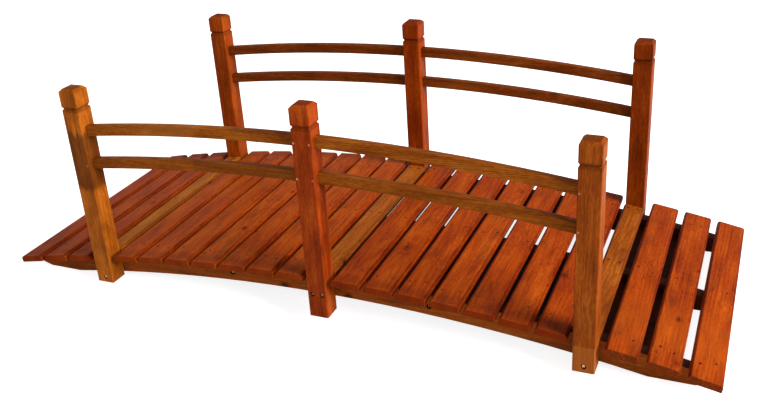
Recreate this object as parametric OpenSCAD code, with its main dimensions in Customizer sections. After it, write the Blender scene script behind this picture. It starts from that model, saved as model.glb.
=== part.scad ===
// Low arched garden footbridge in stained softwood, with a post and two-rail railing on each side.
// X runs along the bridge, Y across it and Z up. The origin is on the ground, under the middle.

/* [Deck] */
// Radius of the arch, to the top of the deck boards
arch_r = 3674; // [3000:10:5000]
// Height of the top of the deck above the ground, at the crown
crown_h = 112; // [104:1:118]
// Width of a deck board
board_w = 58; // [46:0.5:62]
// Thickness of every deck board
board_t = 14; // [10:0.5:18]
// Radius of the boards' upper long edges
board_edge_r = 6; // [1:0.5:8]
// Gap between deck boards from end post to end post
board_gap = 8.5; // [6:0.5:14]
// Gap between the deck boards beyond the end posts
end_gap = 13.5; // [8:0.5:18]
// Width of the three narrow boards that lie between the posts
post_board_w = 44; // [38:0.5:48]
// How far the deck boards stand out over the outer stringers
board_overhang = 36.5; // [20:0.5:45]

/* [Stringers] */
// Distance between the outer faces of the outer stringers
frame_w = 503; // [420:1:600]
// Thickness of a stringer
stringer_t = 26; // [20:1:34]
// Depth of a stringer, measured square to the arch
stringer_d = 44; // [38:1:50]
// How far the stringers stop short of the tip of the outermost board
stringer_setback = 15; // [6:1:20]
// Length of the rising cut under the end of a foot
foot_cut_l = 32; // [15:1:45]
// Height of the rising cut under the end of a foot
foot_cut_h = 10; // [4:1:12]

/* [Braces] */
// Distance along the arch from the crown to an inner brace
inner_brace_s = 218; // [190:1:240]
// Width of an inner brace
inner_brace_w = 30; // [20:1:40]
// Height of an inner brace
inner_brace_h = 26; // [18:1:30]
// Distance along the arch from the crown to an end brace
end_brace_s = 586; // [575:1:600]
// Width of an end brace
end_brace_w = 96; // [60:1:100]
// Thickness of an end brace
end_brace_h = 18; // [12:1:20]
// How far the braces stay above the stringers' undersides
brace_up = 6; // [2:1:10]

/* [Posts] */
// Side of a square post
post_a = 40; // [34:0.5:46]
// Length of a post
post_l = 438; // [420:1:470]
// Radius of the posts' long edges
post_edge_r = 2.5; // [1:0.5:4]
// Height of the end posts' feet above the ground
end_post_up = 13; // [8:1:16]
// Height of the middle posts' feet above the ground
middle_post_up = 26; // [10:1:40]
// Height of the square cap above the groove, with its bevel
cap_h = 36; // [28:1:44]
// Bevel round the top of the cap
cap_bevel = 6; // [2:0.5:9]
// Height of the groove below the cap
groove_h = 10; // [8:0.5:16]
// Depth of the groove
groove_d = 3.5; // [2:0.5:5]

/* [Rails] */
// Height of the upper rails' top above the deck, measured square to the arch
upper_rail_up = 291; // [270:1:300]
// Height of the lower rails' top above the deck, measured square to the arch
lower_rail_up = 220; // [120:1:240]
// Height of a rail
rail_h = 21.5; // [16:0.5:26]
// Thickness of a rail
rail_t = 16; // [10:0.5:18]
// How deep the rails' ends sit in the posts
rail_seat = 15; // [8:0.5:16]

/* [Bolts] */
// Diameter of the bolts' holes
bolt_d = 5; // [3:0.5:7]
// Diameter of the recess for a bolt's head
bolt_recess_d = 10.5; // [8:0.5:14]
// Depth of the recess for a bolt's head
bolt_recess_h = 5; // [3:0.5:8]
// Height of an end post's bolt above the underside of its stringer
end_bolt_up = 8; // [6:0.5:16]
// Distance between the two bolts of a middle post
middle_bolt_gap = 20; // [14:1:24]
// How deep the bolts reach into the inner braces
brace_bolt_l = 45; // [20:1:80]

/* [Fits] */
// Room round a rail's end in its mortise
mortise_gap = 0.3; // [0.1:0.05:0.5]
// Room between the boards and what they lie on or between
board_fit = 0.2; // [0.1:0.05:0.4]

/* [Hidden] */
// Boards in each bay between the posts, and beyond each end post
bay_boards = 7;
tip_boards = 3;
// Sides of the large circles that shape the arched pieces
arch_fn = 1440;
edge_fn = 48;
// How far a cut runs past the face that it opens
run_out = 1;
stain_deck = "#a4491c";
stain_post = "#8f4a1d";
stain_rail = "#86501f";
stain_post_board = "#9c6428";

// Distances along the arch, from the crown to the middle of each board
board_pitch = board_w + board_gap;
tip_pitch = board_w + end_gap;
first_board_s = post_board_w / 2 + board_gap + board_w / 2;
last_bay_s = first_board_s + (bay_boards - 1) * board_pitch;
end_post_s = last_bay_s + first_board_s;
first_tip_s = end_post_s + post_board_w / 2 + end_gap + board_w / 2;
last_tip_s = first_tip_s + (tip_boards - 1) * tip_pitch;
bay_s = [for (i = [0 : bay_boards - 1]) first_board_s + i * board_pitch];
tip_s = [for (i = [0 : tip_boards - 1]) first_tip_s + i * tip_pitch];
half_s = concat(bay_s, tip_s);
half_count = len(half_s);
board_s = concat([for (i = [half_count - 1 : -1 : 0]) -half_s[i]], half_s);
board_l = frame_w + 2 * board_overhang;
post_board_l = frame_w - 2 * board_fit;

// Heights and radii of the arch
arch_z = crown_h - arch_r;
stringer_r = arch_r - board_t - board_fit;
under_r = stringer_r - stringer_d;
function arch_x(s, r = arch_r) = r * sin(s / arch_r * 180 / PI);
tip_x = arch_x(last_tip_s) + board_w / 2 * cos(last_tip_s / arch_r * 180 / PI);
stringer_x = tip_x - stringer_setback;
stringer_ys = [-(frame_w - stringer_t) / 2, 0, (frame_w - stringer_t) / 2];
bay_clear_w = (frame_w - 3 * stringer_t) / 2;
bay_ys = [-(bay_clear_w + stringer_t) / 2, (bay_clear_w + stringer_t) / 2];

// Places of the posts
end_post_x = arch_x(end_post_s);
post_y = (frame_w + post_a) / 2;
sides = ["front", "back"];
side_y = [-post_y, post_y];
places = ["left", "middle", "right"];
place_x = [-end_post_x, 0, end_post_x];
place_up = [end_post_up, middle_post_up, end_post_up];
levels = ["lower", "upper"];
level_r = [arch_r + lower_rail_up, arch_r + upper_rail_up];
bays = ["left", "right"];
inner_s = [-inner_brace_s, inner_brace_s];
brace_s = [-end_brace_s, inner_s[0], inner_s[1], end_brace_s];
brace_size = [
    [end_brace_w, end_brace_h], [inner_brace_w, inner_brace_h],
    [inner_brace_w, inner_brace_h], [end_brace_w, end_brace_h]
];

// Places of the bolts: along the bridge from each post's middle, and above the ground
stringer_face_y = -frame_w / 2;
post_face_y = stringer_face_y - post_a;
bolt_dx = [[0], [-middle_bolt_gap / 2, middle_bolt_gap / 2], [0]];
end_bolt_z = arch_z + sqrt(pow(under_r, 2) - pow(end_post_x, 2)) + end_bolt_up;
middle_bolt_z = arch_z + (stringer_r + under_r) / 2;
bolt_z = [end_bolt_z, middle_bolt_z, end_bolt_z];
brace_bolt_up = under_r - arch_r + brace_up + inner_brace_h / 2;

// Names of the pieces
function two_digits(n) = str(n < 10 ? "0" : "", n);
board_names = [for (i = [1 : len(board_s)]) str("deck_board_", two_digits(i))];
post_board_names = [for (p = places) str("post_board_", p)];
stringer_names = ["stringer_front", "stringer_middle", "stringer_back"];
brace_names = ["brace_left_end", "brace_left", "brace_right", "brace_right_end"];
function post_name(side, place) = str("post_", sides[side], "_", places[place]);
function rail_name(side, bay, level) = str("rail_", sides[side], "_", bays[bay], "_", levels[level]);

// Carries a piece to its place on the arch: its origin goes to the deck's top, its +Z points outward
module on_arch(s) {
    translate([0, 0, arch_z]) rotate([0, s / arch_r * 180 / PI, 0]) translate([0, 0, arch_r]) children();
}

// Stands a shape drawn in length and height upright, and makes it as thick as asked
module upright(thickness) {
    rotate([90, 0, 0]) linear_extrude(thickness, center = true) children();
}

// Hole for a bolt, driven along +Y from the face at zero, with a recess for its head
module bolt_hole(length) {
    translate([0, -run_out, 0]) rotate([-90, 0, 0]) {
        cylinder(h = length + run_out, d = bolt_d, $fn = edge_fn);
        cylinder(h = bolt_recess_h + run_out, d = bolt_recess_d, $fn = edge_fn);
    }
}

// Holes that run through a post and the stringer behind it
module post_bolt_holes(side, place) {
    mirror([0, side, 0])
        for (dx = bolt_dx[place])
            translate([place_x[place] + dx, post_face_y, bolt_z[place]])
                bolt_hole(post_a + stringer_t + run_out);
}

// Holes that run through an outer stringer into the end of an inner brace
module brace_bolt_holes(side) {
    mirror([0, side, 0])
        for (s = inner_s)
            on_arch(s) translate([0, stringer_face_y, brace_bolt_up]) bolt_hole(stringer_t + brace_bolt_l);
}

// Section of a deck board, its upper corners rounded, its top at zero
module board_section(width) {
    inner_w = width - 2 * board_edge_r;
    translate([-width / 2, -board_t]) square([width, board_t - board_edge_r]);
    translate([-inner_w / 2, -board_edge_r - board_fit]) square([inner_w, board_edge_r + board_fit]);
    for (x = [-inner_w / 2, inner_w / 2])
        translate([x, -board_edge_r]) circle(board_edge_r, $fn = edge_fn);
}

module deck_board(s) {
    color(stain_deck) on_arch(s) upright(board_l) board_section(board_w);
}

module post_board(s) {
    color(stain_post_board) on_arch(s) upright(post_board_l) board_section(post_board_w);
}

// Side view of an arched band between two lengths along the bridge
module arched_band(outer_r, inner_r, x0, x1) {
    intersection() {
        translate([0, arch_z]) difference() {
            circle(outer_r, $fn = arch_fn);
            circle(inner_r, $fn = arch_fn);
        }
        translate([x0, 0]) square([x1 - x0, outer_r + arch_z]);
    }
}

// Side view of the rising cut under the right-hand foot
module foot_cut() {
    polygon([[stringer_x - foot_cut_l, 0], [stringer_x, 0], [stringer_x, foot_cut_h]]);
}

module stringer_bar(y) {
    translate([0, y, 0]) upright(stringer_t) difference() {
        arched_band(stringer_r, under_r, -stringer_x, stringer_x);
        foot_cut();
        mirror([1, 0]) foot_cut();
    }
}

module middle_stringer() {
    color(stain_post) stringer_bar(0);
}

module outer_stringer(side) {
    color(stain_post) difference() {
        stringer_bar(side == 0 ? stringer_ys[0] : stringer_ys[2]);
        for (place = [0 : len(places) - 1]) post_bolt_holes(side, place);
        brace_bolt_holes(side);
    }
}

// A brace is two lengths of timber, one in each bay between the stringers
module brace(s, size) {
    color(stain_post) difference() {
        on_arch(s)
            for (y = bay_ys)
                translate([-size[0] / 2, y - bay_clear_w / 2, under_r - arch_r + brace_up])
                    cube([size[0], bay_clear_w, size[1]]);
        if (abs(s) == inner_brace_s)
            for (side = [0 : len(sides) - 1]) brace_bolt_holes(side);
    }
}

// Side view of a post: groove below the cap, bevel on top
module post_outline() {
    half = post_a / 2;
    waist = half - groove_d;
    cap_z = post_l - cap_h;
    crown = half - cap_bevel;
    right = [
        [half, 0], [half, cap_z - groove_h], [waist, cap_z - groove_h / 2], [half, cap_z],
        [half, post_l - cap_bevel], [crown, post_l]
    ];
    polygon(concat(right, [for (i = [len(right) - 1 : -1 : 0]) [-right[i][0], right[i][1]]]));
}

// Section of a post, its corners rounded
module post_section() {
    flat = post_a - 2 * post_edge_r;
    square([post_a, flat], center = true);
    square([flat, post_a], center = true);
    for (x = [-flat / 2, flat / 2], y = [-flat / 2, flat / 2])
        translate([x, y]) circle(post_edge_r, $fn = edge_fn);
}

// The rails' ends at one post, with the room they need
module rail_ends(place) {
    inner = post_a / 2 - rail_seat - mortise_gap;
    outer = post_a / 2 + rail_seat;
    for (r = level_r, dir = [-1, 1])
        if (place + dir >= 0 && place + dir < len(places))
            upright(rail_t + 2 * mortise_gap)
                arched_band(
                    r + mortise_gap, r - rail_h - mortise_gap,
                    place_x[place] + (dir < 0 ? -outer : inner), place_x[place] + (dir < 0 ? -inner : outer)
                );
}

module post(side, place) {
    color(stain_post) difference() {
        translate([place_x[place], side_y[side], place_up[place]]) intersection() {
            linear_extrude(post_l) post_section();
            upright(post_a) post_outline();
            rotate([0, 0, 90]) upright(post_a) post_outline();
        }
        translate([0, side_y[side], 0]) rail_ends(place);
        post_bolt_holes(side, place);
    }
}

module rail(side, bay, level) {
    reach = post_a / 2 - rail_seat;
    color(stain_rail) translate([0, side_y[side], 0]) upright(rail_t)
        arched_band(level_r[level], level_r[level] - rail_h, place_x[bay] + reach, place_x[bay + 1] - reach);
}

for (i = [0 : len(board_s) - 1])
    deck_board(board_s[i]);
for (i = [0, 1, 2])
    post_board((i - 1) * end_post_s);
outer_stringer(0);
middle_stringer();
outer_stringer(1);
for (i = [0 : len(brace_s) - 1])
    brace(brace_s[i], brace_size[i]);
for (side = [0, 1], place = [0, 1, 2])
    post(side, place);
for (side = [0, 1], bay = [0, 1], level = [0, 1])
    rail(side, bay, level);
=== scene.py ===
import bmesh
import bpy
import math
import random
from mathutils import Matrix, Vector


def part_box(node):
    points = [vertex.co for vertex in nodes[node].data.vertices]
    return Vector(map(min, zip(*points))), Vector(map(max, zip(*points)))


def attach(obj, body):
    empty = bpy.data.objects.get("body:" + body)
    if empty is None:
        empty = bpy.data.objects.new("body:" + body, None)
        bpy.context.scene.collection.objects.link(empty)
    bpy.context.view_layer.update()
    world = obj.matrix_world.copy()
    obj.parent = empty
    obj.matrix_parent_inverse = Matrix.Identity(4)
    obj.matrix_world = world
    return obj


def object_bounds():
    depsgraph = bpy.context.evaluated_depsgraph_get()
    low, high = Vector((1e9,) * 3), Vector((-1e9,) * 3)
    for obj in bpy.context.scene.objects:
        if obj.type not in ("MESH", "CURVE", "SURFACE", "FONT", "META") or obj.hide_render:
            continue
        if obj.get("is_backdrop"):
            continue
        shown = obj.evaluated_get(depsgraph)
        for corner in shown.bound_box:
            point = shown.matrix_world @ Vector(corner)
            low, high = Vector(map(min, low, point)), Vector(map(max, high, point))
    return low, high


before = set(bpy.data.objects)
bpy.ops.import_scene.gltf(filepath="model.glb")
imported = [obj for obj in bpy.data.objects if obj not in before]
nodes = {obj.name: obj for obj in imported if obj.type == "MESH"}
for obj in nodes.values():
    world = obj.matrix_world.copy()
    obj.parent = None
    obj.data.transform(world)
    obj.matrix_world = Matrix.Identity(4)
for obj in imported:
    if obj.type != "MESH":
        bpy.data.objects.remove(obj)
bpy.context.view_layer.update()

# Stringers: three arched bearers of sawn softwood, dipped in a thin brown stain. All but their outer faces
# lie under the boards and are darkened with painted shade. The growth rings belong to an imagined log whose
# heart lies outside each piece, so that every face shows the figure that a saw would lay open there.


class Shade:
    """One value among a material's nodes; arithmetic on it adds the Math nodes it needs."""

    def __init__(self, tree, socket=None):
        self.tree = tree
        self.socket = socket

    def node(self, kind, settings, inputs, output=0):
        made = self.tree.nodes.new(kind)
        for name, value in settings.items():
            setattr(made, name, value)
        for name, value in inputs.items():
            if isinstance(value, Shade):
                self.tree.links.new(value.socket, made.inputs[name])
            else:
                made.inputs[name].default_value = value
        return Shade(self.tree, made.outputs[output])

    def math(self, operation, *values):
        return self.node("ShaderNodeMath", {"operation": operation}, dict(enumerate(values)))

    def __add__(self, other):
        return self.math("ADD", self, other)

    def __sub__(self, other):
        return self.math("SUBTRACT", self, other)

    def __rsub__(self, other):
        return self.math("SUBTRACT", other, self)

    def __mul__(self, other):
        return self.math("MULTIPLY", self, other)

    def __truediv__(self, other):
        return self.math("DIVIDE", self, other)

    def __abs__(self):
        return self.math("ABSOLUTE", self)

    __radd__ = __add__
    __rmul__ = __mul__

    def step(self, low, high):
        ends = {"Value": self, "From Min": low, "From Max": high}
        return self.node("ShaderNodeMapRange", {"interpolation_type": "SMOOTHSTEP"}, ends)

    def blend(self, first, second):
        return self.node("ShaderNodeMix", {"data_type": "RGBA"}, {0: self, 6: first, 7: second}, 2)

    def root(self):
        return self.math("SQRT", self)

    def part(self):
        return self.math("FRACT", self)

    def kept(self):
        return self.node("ShaderNodeClamp", {}, {"Value": self})

    def axes(self):
        return [self.node("ShaderNodeSeparateXYZ", {}, {0: self}, axis) for axis in "XYZ"]

    def point(self, x, y, z):
        return self.node("ShaderNodeCombineXYZ", {}, {0: x, 1: y, 2: z})

    def noise(self, detail):
        return self.node("ShaderNodeTexNoise", {}, {"Vector": self, "Scale": 1.0, "Detail": detail})


def linear(red, green, blue):
    """A colour as it is seen on a screen, from 0 to 255, turned into light."""
    parts = [part / 255 for part in (red, green, blue)]
    return [(p / 12.92 if p < 0.04 else ((p + 0.055) / 1.055) ** 2.4) for p in parts] + [1.0]


def stained_wood(
    name, lie, seed, tones, shade=0.0, rings=0.5, knots=0.25, clouds=1.0, painted_edge_shade=0.0, dirt=0.25,
    bands=(), painted_shade=0.0, lit_side=0,
):
    """Stained softwood; lie carries the grain's own axes: X along it, Y across the face, Z out of it.

    The tones are deep, body and pale. A band runs from one place along the grain to another, in millimetres,
    with a softness, a tone and a strength. Painted shade darkens all sides but the lit one, +1 or -1 along
    Y.
    """
    deep, body, pale = [linear(*tone) for tone in tones]
    grime_tone = linear(86, 32, 12)
    knot_tone = linear(52, 16, 5)
    painted_shade_tone = linear(30, 7, 2)
    shifts = (20, 80)
    pick = random.Random(seed)
    material = bpy.data.materials.new(name)
    material.use_nodes = True
    surface = material.node_tree.nodes["Principled BSDF"]
    start = Shade(material.node_tree)
    where = start.node("ShaderNodeTexCoord", {}, {}, "Object")
    millimetre = [0.001] * 3
    held = {"Vector": where, "Location": lie.translation, "Rotation": lie.to_euler(), "Scale": millimetre}
    along, across, depth = start.node("ShaderNodeMapping", {"vector_type": "TEXTURE"}, held).axes()
    shift = pick.uniform(*shifts)

    # Length along the grain and width across it of each kind of figure, in millimetres
    knot_size = (66, 44)
    drift_size = (320, 60)
    fibre_size = (30, 0.8)
    streak_size = (170, 5)
    blotch_size = (120, 34)
    fleck_size = (11, 3)
    split_size = (75, 4)
    grime_size = (85, 30)

    def spread(size, ahead=shift, aside=0.0):
        length, width = size
        return start.point(along / length + ahead, across / width + aside, depth / width)

    # Knots: small spindles of dark wood that push the grain aside, sized as a share of a knot's cell
    least_girth = 0.5
    more_girth = 0.7
    bulge_edge = (0.55, 0.0)
    halo_edge = (0.26, 0.1)
    core_edge = (0.13, 0.07)
    cells = {"Vector": spread(knot_size, shift, shift), "Scale": 1.0, "Randomness": 0.9}
    chance, girth, _ = start.node("ShaderNodeTexVoronoi", {}, cells, "Color").axes()
    reach = start.node("ShaderNodeTexVoronoi", {}, cells, "Distance") / (least_girth + more_girth * girth)
    grown = chance.step(1.01 - knots, 1.02 - knots)
    bulge = grown * reach.step(*bulge_edge)
    halo = grown * reach.step(*halo_edge)
    core = grown * reach.step(*core_edge)

    # Growth rings round the heart of the log, in millimetres, each pale at first and dark towards its end
    heart_slants = (0.01, 0.05)
    heart_aside = 26
    heart_depths = (24, 60)
    ring_widths = (2.6, 4.0)
    ring_sway = 13
    knot_push = 6
    darkens = (0.25, 0.85)
    pales = (1.0, 0.88)
    slant = pick.uniform(*heart_slants) * pick.choice((-1, 1))
    sideways = across - pick.uniform(-heart_aside, heart_aside)
    below = depth + pick.uniform(*heart_depths) + along * slant
    ring_width = pick.uniform(*ring_widths)
    drift = spread(drift_size).noise(2)
    heart = (sideways * sideways + below * below).root()
    turn = ((heart + ring_sway * drift + knot_push * bulge) / ring_width).part()
    late = turn.step(*darkens) * turn.step(*pales)

    # Fibres, streaks where the stain sank in, broad blotches, small flecks and fine splits, each with the
    # weight by which it lightens or darkens the stain
    middling = 0.5
    streak_weight = 0.75
    fibre_weight = 0.35
    fleck_weight = 0.6
    ring_weight = 0.4
    ring_mean = 0.35
    halo_weight = 0.3
    crack_weight = 0.4
    crack_width = (0.012, 0.002)
    cracked_parts = (0.5, 0.6)
    fibre = spread(fibre_size).noise(2)
    streak = spread(streak_size, shift, bulge * 2).noise(3)
    blotch = spread(blotch_size, 0.0, shift).noise(3)
    fleck = spread(fleck_size, 0.0, shift).noise(2)
    split = spread(split_size).noise(1)
    crack = abs(split - middling).step(*crack_width) * blotch.step(*cracked_parts)
    light = middling + shade + streak_weight * (streak - middling) + clouds * (blotch - middling)
    light = light + fibre_weight * (fibre - middling) + fleck_weight * (fleck - middling)
    light = light - ring_weight * rings * (late - ring_mean) - halo_weight * halo - crack_weight * crack

    # Painted shade on rounded edges, dirt in patches, more stain on cut ends, and bands along the grain
    edge_turn = (0.1, 0.4)
    grimy_parts = (0.48, 0.72)
    cut_turn = (0.6, 0.95)
    lit_turn = (0.2, 0.7)
    core_strength = 0.75
    cut_strength = 0.55
    normal = start.node("ShaderNodeNewGeometry", {}, {}, "Normal")
    spin = {"Vector": normal, "Rotation": lie.to_euler()}
    facing = start.node("ShaderNodeMapping", {"vector_type": "TEXTURE"}, spin).axes()
    # Painted shade: rounded shoulders that face sideways and up are darkened
    light = light - painted_edge_shade * abs(facing[1]).step(*edge_turn) * facing[2].step(*edge_turn)
    stain = (light * 2).kept().blend(deep, body)
    stain = (light * 2 - 1).kept().blend(stain, pale)
    grime = spread(grime_size).noise(4).step(*grimy_parts)
    stain = (dirt * grime).blend(stain, grime_tone)
    stain = (core_strength * core).blend(stain, knot_tone)
    cut = abs(facing[0]).step(*cut_turn)
    stain = (cut_strength * cut).blend(stain, deep)
    for first, last, soft, tone, strength in bands:
        edge = along + soft * 2 * (streak - middling)
        band = edge.step(first, first + soft) * edge.step(last, last - soft)
        stain = (strength * band).blend(stain, linear(*tone))
    # Painted shade: a near-black tone on every face but the lit side, standing for the shade under the
    # boards
    if painted_shade:
        shaded_sides = 1 - (facing[1] * lit_side).step(*lit_turn)
        stain = (painted_shade * shaded_sides).blend(stain, painted_shade_tone)

    # Raised grain, and a dull sheen that is duller still on cut ends
    relief_depth = 0.0005
    least_rough = 0.42
    sheen = 0.042
    relief = fibre * 0.5 + late * 0.3 + core * 0.5 - crack
    grain = start.node("ShaderNodeBump", {}, {"Strength": 0.3, "Distance": relief_depth, "Height": relief})
    rough = least_rough + 0.2 * fibre + 0.15 * cut + 0.1 * blotch
    tree = material.node_tree
    tree.links.new(stain.socket, surface.inputs["Base Color"])
    tree.links.new(rough.socket, surface.inputs["Roughness"])
    tree.links.new(grain.socket, surface.inputs["Normal"])
    surface.inputs["Specular IOR Level"].default_value = sheen
    return material


def dress(name, material, arris):
    """Gives a node its wood and takes the sharpness off its edges."""
    seam = 0.00001
    sharp_from = math.radians(40)
    piece = nodes[name]
    piece.material_slots[0].material = material
    weld = piece.modifiers.new("weld", "WELD")
    weld.merge_threshold = seam
    soften = piece.modifiers.new("arris", "BEVEL")
    soften.width = arris
    soften.segments = 3
    soften.limit_method = "ANGLE"
    soften.angle_limit = sharp_from
    soften.harden_normals = True


stringer_arris = 0.0012
stringer_seed = 11
frame_tones = ((92, 38, 6), (154, 74, 18), (186, 106, 38))
outer_sides = {"stringer_front": -1, "stringer_middle": 0, "stringer_back": 1}
for index, (name, outer) in enumerate(outer_sides.items()):
    low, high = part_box(name)
    lie = Matrix.Translation((low + high) / 2)
    seed = stringer_seed + index
    # Each stringer gets painted shade on all but its outer face
    wood = stained_wood(name, lie, seed, frame_tones, rings=0.4, painted_shade=0.85, lit_side=outer)
    dress(name, wood, stringer_arris)

# Braces: short lengths of the same timber, fitted between the stringers and toned darker as painted shade.
# A bolt through each outer stringer holds an inner brace. Its plated head sits on a washer in a bored
# recess, and the washer's near-black colour is painted shade of the recess.
quarter_turn = math.pi / 2
brace_arris = 0.0008
brace_seed = 21
shaded_brace_tones = ((38, 13, 3), (76, 30, 8), (104, 52, 18))
brace_names = ("brace_left_end", "brace_left", "brace_right", "brace_right_end")
bolted_braces = brace_names[1:3]
for index, name in enumerate(brace_names):
    low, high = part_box(name)
    lie = Matrix.Translation((low + high) / 2) @ Matrix.Rotation(quarter_turn, 4, "Z")
    dress(name, stained_wood(name, lie, brace_seed + index, shaded_brace_tones, rings=0.4), brace_arris)


def circle(radius, height, count=20):
    """Points round a circle, each as (x, y, height)."""
    turns = [2 * math.pi * step / count for step in range(count)]
    return [(radius * math.cos(turn), radius * math.sin(turn), height) for turn in turns]


def fixing_head(rings, drive, well):
    """One head, turned from rings of (radius, height), with a drive outline sunk down to the well."""
    drive_taper = 0.85
    shape = bmesh.new()
    loops = [[shape.verts.new(point) for point in circle(*ring)] for ring in rings]
    top = rings[-1][1]
    loops.append([shape.verts.new((x, y, top)) for x, y in drive])
    sunk = [shape.verts.new((x * drive_taper, y * drive_taper, well)) for x, y in drive]
    walls = list(zip(loops[:-2], loops[1:-1])) + [(loops[-1], sunk)]
    for lower, upper in walls:
        for here in range(len(lower)):
            there = (here + 1) % len(lower)
            shape.faces.new((lower[here], lower[there], upper[there], upper[here]))
    shape.faces.new(sunk)
    rim = []
    for loop in (loops[-2], loops[-1]):
        for here in range(len(loop)):
            pair = (loop[here], loop[(here + 1) % len(loop)])
            rim.append(shape.edges.get(pair) or shape.edges.new(pair))
    bmesh.ops.triangle_fill(shape, use_beauty=True, edges=rim)
    bmesh.ops.recalc_face_normals(shape, faces=shape.faces)
    shape.verts.index_update()
    points = [vert.co.copy() for vert in shape.verts]
    faces = [[vert.index for vert in face.verts] for face in shape.faces]
    shape.free()
    return points, faces


def set_in(name, head, places, metal):
    """Joins one head per place into a piece that stays with the bridge."""
    points = []
    faces = []
    for place in places:
        first = len(points)
        points += [place @ point for point in head[0]]
        faces += [[first + corner for corner in face] for face in head[1]]
    mesh = bpy.data.meshes.new(name)
    mesh.from_pydata(points, [], faces)
    mesh.materials.append(metal)
    piece = bpy.data.objects.new(name, mesh)
    bpy.context.scene.collection.objects.link(piece)
    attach(piece, "root")


def plated_steel(name, bright, dull, rust, rough, cloud_size):
    """Plated steel, clouded where the plating is thin and rusty where it is gone.

    It takes three tones, the least roughness and the size of the clouds in metres.
    """
    wear_size = 0.000625
    wear_depth = 0.0001
    clear_parts = (0.35, 0.65)
    rusty_parts = (0.56, 0.72)
    rust_strength = 0.7
    material = bpy.data.materials.new(name)
    material.use_nodes = True
    surface = material.node_tree.nodes["Principled BSDF"]
    start = Shade(material.node_tree)
    place = start.node("ShaderNodeTexCoord", {}, {}, "Object")
    cloud = start.node("ShaderNodeTexNoise", {}, {"Vector": place, "Scale": 1 / cloud_size, "Detail": 3.0})
    wear = start.node("ShaderNodeTexNoise", {}, {"Vector": place, "Scale": 1 / wear_size, "Detail": 2.0})
    colour = cloud.step(*clear_parts).blend(linear(*dull), linear(*bright))
    colour = (rust_strength * wear.step(*rusty_parts)).blend(colour, linear(*rust))
    roughness = rough + 0.25 * cloud
    relief = start.node("ShaderNodeBump", {}, {"Strength": 0.2, "Distance": wear_depth, "Height": wear})
    material.node_tree.links.new(colour.socket, surface.inputs["Base Color"])
    material.node_tree.links.new(roughness.socket, surface.inputs["Roughness"])
    material.node_tree.links.new(relief.socket, surface.inputs["Normal"])
    surface.inputs["Metallic"].default_value = 0.9
    return material


# Rings of a bolt's head and its washer: radius, and height from the face of the wood, in metres
bolt_rings = ((0.0029, -0.0042), (0.0029, -0.003), (0.0024, -0.0025))
socket_radius = 0.0014
socket_floor = -0.0036
washer_rings = ((0.005, -0.0049), (0.005, -0.0044), (0.0047, -0.0041))
washer_hole_radius = 0.0026
washer_floor = -0.0048
hexagon = [point[:2] for point in circle(socket_radius, 0, 6)]
bolt_head = fixing_head(bolt_rings, hexagon, socket_floor)
washer_hole = [point[:2] for point in circle(washer_hole_radius, 0, 12)]
washer = fixing_head(washer_rings, washer_hole, washer_floor)
zinc = plated_steel("zinc_plate", (232, 208, 164), (150, 124, 88), (84, 52, 28), 0.2, 0.0024)
# The washers' near-black steel is painted shade, standing for the dark of the bored recesses
shade_black = plated_steel("shade_black_steel", (40, 22, 12), (22, 11, 6), (58, 28, 12), 0.55, 0.004)
outward = {"front": Matrix.Rotation(quarter_turn, 4, "X"), "back": Matrix.Rotation(-quarter_turn, 4, "X")}


def outer_face(name, side):
    """The Y of a node's face on its own side of the bridge."""
    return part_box(name)[0 if side == "front" else 1].y


brace_bolts = []
for side in outward:
    face = outer_face("stringer_" + side, side)
    for name in bolted_braces:
        low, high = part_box(name)
        spot = Vector(((low.x + high.x) / 2, face, (low.z + high.z) / 2))
        brace_bolts.append(Matrix.Translation(spot) @ outward[side])
set_in("brace_bolts", bolt_head, brace_bolts, zinc)
set_in("brace_washers", washer, brace_bolts, shade_black)

# Deck boards: planed softwood slats with rounded upper edges, stained red-brown and laid across the
# stringers with a gap between them. Two dark screws hold each board on every stringer. Feet have dulled the
# ends of most boards, and scuffed the near ends of the last three.
arch_radius = 3.674
crown = 0.112
board_half_thickness = 0.007
board_arris = 0.0008
board_seed = 100
board_count = 20
tip_count = 3
deck_tones = ((100, 26, 1), (162, 60, 4), (200, 94, 16))
# Lightness of each board: partly its own tone, partly painted light that lifts the left boards and dims the
# right tips
board_tone_and_painted_light = (
    -0.02, 0.04, 0.02, 0.16, 0.14, 0.18, 0.22, 0.15, 0.16, 0.16,
    -0.02, 0.06, -0.02, 0.08, 0.0, 0.02, -0.08, -0.05, -0.06, -0.04,
)
grimy_ends = ((-300, -245, 26, (76, 22, 4), 0.4), (245, 300, 26, (76, 22, 4), 0.4))
scuffed_end = ((-320, -50, 150, (210, 98, 22), 0.28), (-310, -285, 4, (84, 42, 13), 0.55))
across_bridge = Matrix.Rotation(quarter_turn, 4, "Z")


def board_lie(name):
    """The middle of a board's upper face, with X along the bridge and Z square to the arch."""
    low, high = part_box(name)
    tilt = math.asin((low.x + high.x) / 2 / (arch_radius - board_half_thickness))
    foot = Matrix.Translation((0, 0, crown - arch_radius)) @ Matrix.Rotation(tilt, 4, "Y")
    return foot @ Matrix.Translation((0, 0, arch_radius))


board_names = ["deck_board_%02d" % (index + 1) for index in range(board_count)]
for index, name in enumerate(board_names):
    wood = stained_wood(
        name, board_lie(name) @ across_bridge, board_seed + index, deck_tones, shade=board_tone_and_painted_light[index],
        rings=0.35, knots=0.6, painted_edge_shade=0.4, dirt=0.4,
        bands=scuffed_end if index >= board_count - tip_count else grimy_ends,
    )
    dress(name, wood, board_arris)

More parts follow.
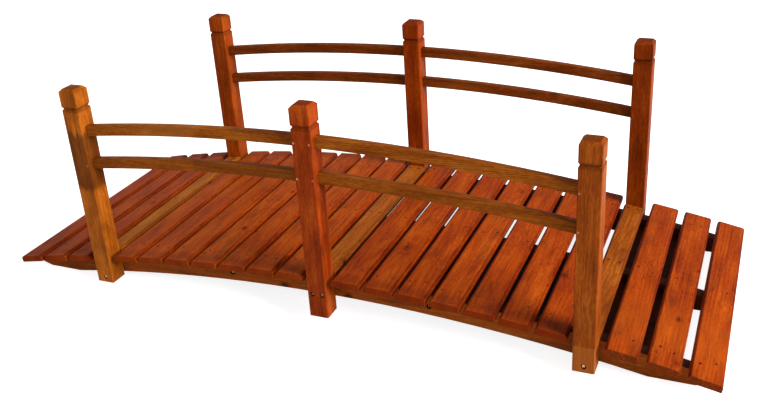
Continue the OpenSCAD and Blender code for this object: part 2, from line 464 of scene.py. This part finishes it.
# Half the outline of a cross drive, and the domed head round it
arm = 0.0014
slot = 0.0004
cross_half = ((slot, slot), (slot, arm), (-slot, arm), (-slot, slot), (-arm, slot), (-arm, -slot))
cross = [(x * turn, y * turn) for turn in (1, -1) for x, y in cross_half]
screw_rings = ((0.0029, 0.0), (0.0026, 0.0002), (0.0019, 0.0004))
screw_floor = 0.0001
screw_lines = (-0.2385, 0.0, 0.2385)
screw_aside = 0.0145
sway_aside = 0.003
sway_along = 0.007
sway_seed = 500
screw_head = fixing_head(screw_rings, cross, screw_floor)
bronze = plated_steel("bronzed_steel", (134, 56, 18), (58, 22, 8), (104, 44, 16), 0.5, 0.02)
deck_screws = []
for index, name in enumerate(board_names):
    sway = random.Random(sway_seed + index)
    for line in screw_lines:
        for side in (-screw_aside, screw_aside):
            aside = side + sway.uniform(-sway_aside, sway_aside)
            spot = Vector((aside, line + sway.uniform(-sway_along, sway_along), 0))
            spin = Matrix.Rotation(sway.uniform(0, math.pi), 4, "Z")
            deck_screws.append(board_lie(name) @ Matrix.Translation(spot) @ spin)
set_in("deck_screws", screw_head, deck_screws, bronze)

# Post boards: three narrower slats of a paler, browner softwood that lie between facing posts. They are
# planed and rounded like the other boards, and screwed down with the same screws.
post_board_tones = {
    "post_board_left": ((122, 56, 5), (176, 93, 15), (212, 136, 42)),
    "post_board_middle": ((115, 51, 8), (168, 84, 18), (200, 118, 41)),
    "post_board_right": ((100, 42, 5), (151, 71, 12), (184, 106, 34)),
}
post_board_lines = (-0.2375, 0.0, 0.2375)
post_board_aside = 0.011
post_board_seed = 140
post_board_screws = []
for index, (name, tones) in enumerate(post_board_tones.items()):
    place = board_lie(name)
    seed = post_board_seed + index
    dress(name, stained_wood(name, place @ across_bridge, seed, tones, painted_edge_shade=0.4), board_arris)
    for line in post_board_lines:
        for side in (-post_board_aside, post_board_aside):
            post_board_screws.append(place @ Matrix.Translation((side, line, 0)))
set_in("post_board_screws", screw_head, post_board_screws, bronze)

# Posts: square softwood posts with a bevelled cap above a sawn groove. They stand outside the deck, and
# bolts in bored recesses draw them to the stringers: one in each end post, two in each middle post.
post_arris = 0.0009
post_seed = 200
post_tones = {
    "post_front_left": ((96, 44, 4), (164, 85, 17), (214, 120, 35)),
    "post_front_middle": ((88, 26, 2), (146, 52, 8), (186, 86, 20)),
    "post_front_right": ((86, 34, 2), (142, 64, 10), (182, 98, 28)),
    "post_back_left": ((72, 24, 1), (140, 55, 4), (194, 90, 16)),
    "post_back_middle": ((80, 24, 1), (140, 50, 3), (180, 82, 18)),
    "post_back_right": ((74, 26, 1), (128, 48, 3), (168, 80, 18)),
}
post_clouds = {"post_front_left": 1.9, "post_front_middle": 1.7}
plain_clouds = 1.1
# The groove is darkened by pooled stain and painted shade
groove_band = (389, 403, 3, (60, 20, 4), 0.4)
# The near-left post is darker high up, and the near-right post paler at its foot and darker just above it
post_bands = {
    "post_front_left": [(212, 356, 18, (64, 26, 4), 0.72)],
    "post_front_right": [(-20, 54, 3, (190, 112, 48), 0.3), (55, 150, 40, (92, 38, 12), 0.25)],
}
end_bolt_height = 0.0246
middle_bolt_height = 0.0758
middle_bolt_aside = 0.01
end_places = ((0, end_bolt_height),)
middle_places = ((-middle_bolt_aside, middle_bolt_height), (middle_bolt_aside, middle_bolt_height))
# Turns the grain's X, which is along it, to run up the post
upward = Matrix(((0, 1, 0, 0), (0, 0, 1, 0), (1, 0, 0, 0), (0, 0, 0, 1)))
end_bolts = []
middle_bolts = []
for index, (name, tones) in enumerate(post_tones.items()):
    low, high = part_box(name)
    foot = Vector(((low.x + high.x) / 2, (low.y + high.y) / 2, low.z))
    lie = Matrix.Translation(foot) @ upward
    wood = stained_wood(
        name, lie, post_seed + index, tones, rings=0.22, knots=0.15,
        clouds=post_clouds.get(name, plain_clouds),
        bands=[groove_band] + post_bands.get(name, []),
    )
    dress(name, wood, post_arris)
    side, place = name.split("_")[1:]
    in_middle = place == "middle"
    bolts = middle_bolts if in_middle else end_bolts
    for aside, height in middle_places if in_middle else end_places:
        spot = (foot.x + aside, outer_face(name, side), height)
        bolts.append(Matrix.Translation(spot) @ outward[side])
# The middle posts' bolts take a darker copy of the plating as painted shade
shaded_zinc = plated_steel("shaded_zinc_plate", (168, 132, 92), (62, 40, 24), (50, 26, 14), 0.3, 0.003)
set_in("end_post_bolts", bolt_head, end_bolts, zinc)
set_in("middle_post_bolts", bolt_head, middle_bolts, shaded_zinc)
# Every post bolt sits on a washer whose near-black colour is painted shade
set_in("post_washers", washer, end_bolts + middle_bolts, shade_black)

# Rails: slender arched rails of softwood, sawn to the curve of the deck. Their ends sit in mortises in the
# posts, and a small tarnished screw, flush with the post's outer face, holds each end.
rail_arris = 0.0015
rail_seed = 300
rail_ups = {"lower": 0.22, "upper": 0.291}
rail_half_height = 0.01075
rail_tones = {
    "front": ((80, 36, 2), (142, 70, 10), (184, 110, 32)),
    "back": ((64, 24, 2), (116, 50, 8), (152, 82, 24)),
}
# The near-left lower rail is darker along its right part, and its upper rail paler near the middle
rail_bands = {
    "rail_front_left_lower": [(2, 300, 10, (66, 26, 6), 0.3)],
    "rail_front_left_upper": [(-120, 40, 30, (176, 108, 44), 0.3)],
}
flush_rings = ((0.002, -0.001), (0.002, -0.000005), (0.0018, 0.000005))
flush_floor = -0.0005
flush_cross = 0.7
flush_inset = 0.011
flush_turn = 0.4
small_head = fixing_head(flush_rings, [(x * flush_cross, y * flush_cross) for x, y in cross], flush_floor)
rail_names = [
    "rail_%s_%s_%s" % (side, bay, level)
    for side in ("front", "back") for bay in ("left", "right") for level in ("lower", "upper")
]
rail_screws = []
for index, name in enumerate(rail_names):
    low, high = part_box(name)
    lie = Matrix.Translation((low + high) / 2)
    side, bay, level = name.split("_")[1:]
    bands = rail_bands.get(name, ())
    wood = stained_wood(name, lie, rail_seed + index, rail_tones[side], knots=0.1, bands=bands)
    dress(name, wood, rail_arris)
    ends = {low.x: ("left", flush_inset), high.x: ("right", -flush_inset)}
    middle_radius = arch_radius + rail_ups[level] - rail_half_height
    spin = Matrix.Rotation(flush_turn * index, 4, "Z")
    for end, (end_side, inward) in ends.items():
        place = bay if end_side == bay else "middle"
        height = crown - arch_radius + math.sqrt(middle_radius ** 2 - (end + inward) ** 2)
        spot = (end + inward, outer_face("post_%s_%s" % (side, place), side), height)
        rail_screws.append(Matrix.Translation(spot) @ outward[side] @ spin)
tarnished = plated_steel("tarnished_plate", (206, 144, 108), (138, 86, 60), (92, 52, 30), 0.35, 0.006)
set_in("rail_screws", small_head, rail_screws, tarnished)

# Floor: a pale studio floor of paper that runs on out of sight and takes the bridge's shadow. It glows white
# to the camera, so the deep shade under the deck is set in its colour, or every gap would show white. That
# shade reaches further back on the left, away from the lamp.
floor_half = 12.0
floor_white = (0.84, 0.84, 0.84, 1)
floor_pale = (0.8, 0.8, 0.8, 1)
floor_shadow = (0.03, 0.03, 0.03, 1)
no_glow = (0, 0, 0, 1)
shadow_end = (0.6, 0.56)
shadow_front = (-0.165, -0.13)
shadow_back = (0.17, 0.14)
shadow_trail = (0.156, 0.131)
trail_slope = 0.13
sheet = bpy.data.meshes.new("floor")
corners = [(-floor_half, -floor_half, 0), (floor_half, -floor_half, 0)]
corners += [(floor_half, floor_half, 0), (-floor_half, floor_half, 0)]
sheet.from_pydata(corners, [], [(0, 1, 2, 3)])
floor = bpy.data.objects.new("floor", sheet)
bpy.context.scene.collection.objects.link(floor)
paper = bpy.data.materials.new("floor_paper")
paper.use_nodes = True
paper_face = paper.node_tree.nodes["Principled BSDF"]


def plainly_seen(tree):
    """One for rays that show a surface as it is: from the camera, off gloss or through glass."""
    kinds = ("Is Camera Ray", "Is Glossy Ray", "Is Transmission Ray")
    camera_ray, glossy_ray, through_ray = [
        Shade(tree).node("ShaderNodeLightPath", {}, {}, kind) for kind in kinds
    ]
    return camera_ray + glossy_ray + through_ray


beside, behind, _ = Shade(paper.node_tree).node("ShaderNodeTexCoord", {}, {}, "Object").axes()
trailing = behind + trail_slope * beside
under = abs(beside).step(*shadow_end) * behind.step(*shadow_front) * behind.step(*shadow_back)
lit = 1 - under * trailing.step(*shadow_trail)
glow = (lit * plainly_seen(paper.node_tree)).blend(no_glow, floor_white)
ground = lit.blend(floor_shadow, floor_pale)
paper.node_tree.links.new(ground.socket, paper_face.inputs["Base Color"])
paper.node_tree.links.new(glow.socket, paper_face.inputs["Emission Color"])
paper_face.inputs["Emission Strength"].default_value = 1.0
paper_face.inputs["Roughness"].default_value = 0.9
floor.data.materials.append(paper)
floor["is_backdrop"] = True

# Studio light: a pale surround that shows white to the camera and in reflections, and one broad round lamp
# that stands to the right, a little in front of the bridge.
surround = (0.38, 0.38, 0.39, 1)
white = (1, 1, 1, 1)
lamp_place = Vector((7.6, -1.6, 3.8))
lamp_aim = Vector((0, 0, 0.15))
lamp_width = 4.2
lamp_power = 1060
scene = bpy.context.scene
world = bpy.data.worlds.new("studio")
scene.world = world
world.use_nodes = True
sky = plainly_seen(world.node_tree).blend(surround, white)
world.node_tree.links.new(sky.socket, world.node_tree.nodes["Background"].inputs["Color"])
light = bpy.data.lights.new("lamp_right", "AREA")
light.shape = "DISK"
light.size = lamp_width
light.energy = lamp_power
lamp = bpy.data.objects.new("lamp_right", light)
lamp.location = lamp_place
lamp.rotation_euler = (lamp_aim - lamp_place).to_track_quat("-Z", "Y").to_euler()
scene.collection.objects.link(lamp)
lamp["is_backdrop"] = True

# Camera: the photographer stands in front, right of the middle, and looks slightly down on the bridge with
# the camera leaned a little. The focal length and the picture's optical centre are in picture points.
picture_width = 768
picture_height = 406
focal_length = 922.54
optical_centre = (396.84, 168.1)
sensor_width = 36
turn_about = math.radians(23.527)
look_down = math.radians(24.387)
lean = math.radians(-3.41)
aim = Vector((0.05163, 0.01246, 0.21735))
stand_off = 1.95781
back = Vector((
    math.sin(turn_about) * math.cos(look_down),
    -math.cos(turn_about) * math.cos(look_down),
    math.sin(look_down),
))
rightward = (-back).cross(Vector((0, 0, 1))).normalized()
upright = rightward.cross(-back)
leaned_right = rightward * math.cos(lean) + upright * math.sin(lean)
leaned_up = upright * math.cos(lean) - rightward * math.sin(lean)
eye = bpy.data.cameras.new("camera")
eye.sensor_width = sensor_width
eye.lens = focal_length / picture_width * sensor_width
eye.shift_x = (picture_width / 2 - optical_centre[0]) / picture_width
eye.shift_y = (optical_centre[1] - picture_height / 2) / picture_width
camera = bpy.data.objects.new("camera", eye)
turned = Matrix((leaned_right, leaned_up, back)).transposed()
camera.matrix_world = Matrix.Translation(aim + back * stand_off) @ turned.to_4x4()
scene.collection.objects.link(camera)
scene.camera = camera
scene.view_settings.view_transform = "Standard"

low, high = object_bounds()
